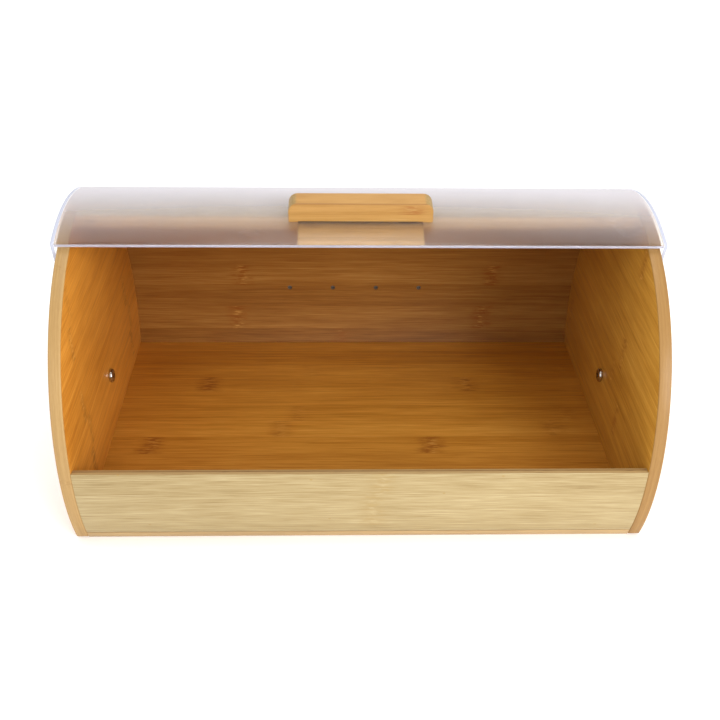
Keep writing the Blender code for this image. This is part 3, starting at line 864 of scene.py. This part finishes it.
fastenerSides = 64
fastenerRounding = 0.00018
pivotScrew = {
    "headRadius": 0.0052, "headHeight": 0.0026, "crown": 0.0018, "shankRadius": 0.00185,
    "shankLength": 0.0083, "recessWidth": 0.0011, "recessSpan": 0.0052, "recessDepth": 0.0013,
}
pivotNut = {
    "headRadius": 0.0055, "headHeight": 0.0026, "crown": 0.0018, "shankRadius": 0.003, "shankLength": 0.0097,
    "boreRadius": 0.00215, "boreDepth": 0.0063,
}
handleScrew = {
    "headRadius": 0.0033, "headHeight": 0.0018, "crown": 0.0012, "shankRadius": 0.0015, "shankLength": 0.0167,
    "recessWidth": 0.0008, "recessSpan": 0.0034, "recessDepth": 0.0009, "drop": 0.00034,
}
ringSizes = {"bore": 0.0033, "edgeRounding": 0.0001, "slot": "ring_plastic"}


def makeFastener(sizes, seat, rotation):
    # Domed head below the seat, shank above it, both along the object's own Z
    turn = Euler(rotation).to_matrix()
    up = turn @ Vector((0, 0, 1))
    tall = sizes["headHeight"]
    deselectAll()
    bpy.ops.mesh.primitive_cylinder_add(
        vertices=fastenerSides, radius=sizes["headRadius"], depth=tall, location=seat - up * (tall / 2),
        rotation=rotation,
    )
    piece = bpy.context.object
    editOn()
    pick("EDGE", lambda at, way: at.z < -tall / 2 + 0.00001 and abs(way.z) < 0.1)
    bpy.ops.mesh.bevel(offset=sizes["crown"], offset_type="OFFSET", segments=9, profile=0.56, affect="EDGES")
    pick("FACE", lambda at, way: way.z > 0.9)
    bpy.ops.mesh.inset(thickness=sizes["headRadius"] - sizes["shankRadius"])
    bpy.ops.mesh.extrude_region_move(TRANSFORM_OT_translate={"value": up * sizes["shankLength"]})
    if "boreRadius" in sizes:
        bpy.ops.mesh.inset(thickness=sizes["shankRadius"] - sizes["boreRadius"])
        bpy.ops.mesh.extrude_region_move(TRANSFORM_OT_translate={"value": -up * sizes["boreDepth"]})
    editOff()
    softenEdges(piece, fastenerRounding, 2, 50)
    if "recessWidth" in sizes:
        for wide, long in (("recessWidth", "recessSpan"), ("recessSpan", "recessWidth")):
            deselectAll()
            bpy.ops.mesh.primitive_cube_add(size=1, location=seat - up * tall, rotation=rotation)
            slotCut = bpy.context.object
            slotCut.scale = (sizes[wide], sizes[long], 2 * sizes["recessDepth"])
            setTransform(location=False, rotation=False)
            cutWith(piece, slotCut)
    return piece


def makeRing(node, material):
    low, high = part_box(node)
    middle = (low.x + high.x) / 2
    deselectAll()
    bpy.ops.mesh.primitive_cylinder_add(
        vertices=fastenerSides, radius=(high.z - low.z) / 2, depth=high.x - low.x,
        location=(middle, 0, hingeHeight), rotation=acrossX,
    )
    ring = bpy.context.object
    drill(ring, ringSizes["bore"], 0.01, (middle, 0, hingeHeight), acrossX, 48)
    softenEdges(ring, ringSizes["edgeRounding"])
    finishPiece(ring, node, "case", [material])


for label, side in (("left", -1), ("right", 1)):
    outward = (0, side * pi / 2, 0)
    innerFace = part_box("side_panel_" + label)[0 if side > 0 else 1].x
    screw = makeFastener(pivotScrew, Vector((innerFace - side * gap, 0, hingeHeight)), outward)
    finishPiece(
        screw, "pivot_screw_" + label, "case",
        [steelMaterial("pivot screw steel " + label, (0.60, 0.58, 0.56), 0.18, side + 3.0)],
    )
    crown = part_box("pivot_nut_" + label)[1 if side > 0 else 0].x
    nut = makeFastener(
        pivotNut, Vector((crown - side * pivotNut["headHeight"], 0, hingeHeight)), (0, -side * pi / 2, 0)
    )
    finishPiece(
        nut, "pivot_nut_" + label, "case",
        [steelMaterial("pivot nut steel " + label, (0.80, 0.79, 0.78), 0.18, side + 7.0)],
    )
    makeRing("pivot_spacer_" + label, plasticMaterial("spacer plastic " + label, side + 2.0))
    makeRing("pivot_washer_" + label, plasticMaterial("washer plastic " + label, side + 5.0))
    seatRadius = lid["innerRadius"] - gap - strip["thickness"] - handleScrew["drop"]
    seat = polar(seatRadius, handleAngle) + Vector((side * screwHole["across"], 0, 0))
    screw = makeFastener(handleScrew, seat, handleTilt)
    finishPiece(
        screw, "handle_screw_" + label, "lid",
        [steelMaterial("handle screw steel " + label, (0.72, 0.70, 0.66), 0.26, side + 11.0)],
    )


studio = {
    "worldColor": (1.0, 1.0, 1.0), "worldStrength": 0.88, "aim": (0, 0, 0.08),
    "groundSize": 12, "groundDrop": 0.0002, "groundGlow": 0.12,
    # Each lamp's name, place, size, power and colour
    "lamps": [
        ("key", (0.95, -1.35, 0.80), 1.0, 19.0, (1.0, 0.99, 0.97)),
        ("fill", (-0.9, -1.5, 0.9), 1.2, 5.0, (0.97, 0.98, 1.0)),
        ("top", (0.0, 0.2, 1.7), 1.2, 9.0, (1.0, 1.0, 1.0)),
    ],
}


def makeGround():
    deselectAll()
    bpy.ops.mesh.primitive_plane_add(size=studio["groundSize"], location=(0, 0, -studio["groundDrop"]))
    ground = bpy.context.object
    ground.name = "ground"
    material, start = newMaterial("pale ground")
    x, y, z = objectAxes(start)
    mottle = noise(start, joined(start, x * 3.0, y * 3.0, 0.0), 2.0, 0.5)
    color = mottle.mixColor((0.965, 0.965, 0.965), (0.985, 0.985, 0.985))
    endShader(
        start,
        {
            "Base Color": color, "Roughness": 0.9, "Specular IOR Level": 0.1,
            "Emission Color": (1.0, 1.0, 1.0, 1.0), "Emission Strength": studio["groundGlow"],
        },
        material,
    )
    ground.data.materials.append(material)


def makeLight():
    world = bpy.data.worlds.new("studio")
    bpy.context.scene.world = world
    world.use_nodes = True
    back = world.node_tree.nodes["Background"]
    back.inputs["Color"].default_value = (*studio["worldColor"], 1.0)
    back.inputs["Strength"].default_value = studio["worldStrength"]
    for name, location, size, power, color in studio["lamps"]:
        data = bpy.data.lights.new(name, "AREA")
        data.shape = "DISK"
        data.size = size
        data.energy = power
        data.color = color
        lamp = bpy.data.objects.new(name, data)
        bpy.context.scene.collection.objects.link(lamp)
        lamp.location = location
        lamp.rotation_euler = (Vector(studio["aim"]) - lamp.location).to_track_quat("-Z", "Y").to_euler()


viewpoint = {
    "location": (-0.01832, -0.61243, 0.45196), "pitchDown": 37.66, "yawRight": 2.0, "roll": 1.04,
    "lens": 48.41, "sensor": 36, "shiftY": 0.1276, "near": 0.01, "far": 100,
}


def makeCamera():
    data = bpy.data.cameras.new("camera")
    data.sensor_width = viewpoint["sensor"]
    data.lens = viewpoint["lens"]
    data.shift_y = viewpoint["shiftY"]
    data.clip_start = viewpoint["near"]
    data.clip_end = viewpoint["far"]
    camera = bpy.data.objects.new("camera", data)
    bpy.context.scene.collection.objects.link(camera)
    turn = (
        Matrix.Rotation(radians(-viewpoint["yawRight"]), 3, "Z")
        @ Matrix.Rotation(radians(90 - viewpoint["pitchDown"]), 3, "X")
        @ Matrix.Rotation(radians(viewpoint["roll"]), 3, "Z")
    )
    camera.location = viewpoint["location"]
    camera.rotation_euler = turn.to_euler()
    bpy.context.scene.camera = camera


makeGround()
makeLight()
makeCamera()
bpy.context.scene.view_settings.view_transform = "Standard"
bpy.context.scene.view_settings.look = "None"
print("stage set")

bpy.context.view_layer.update()
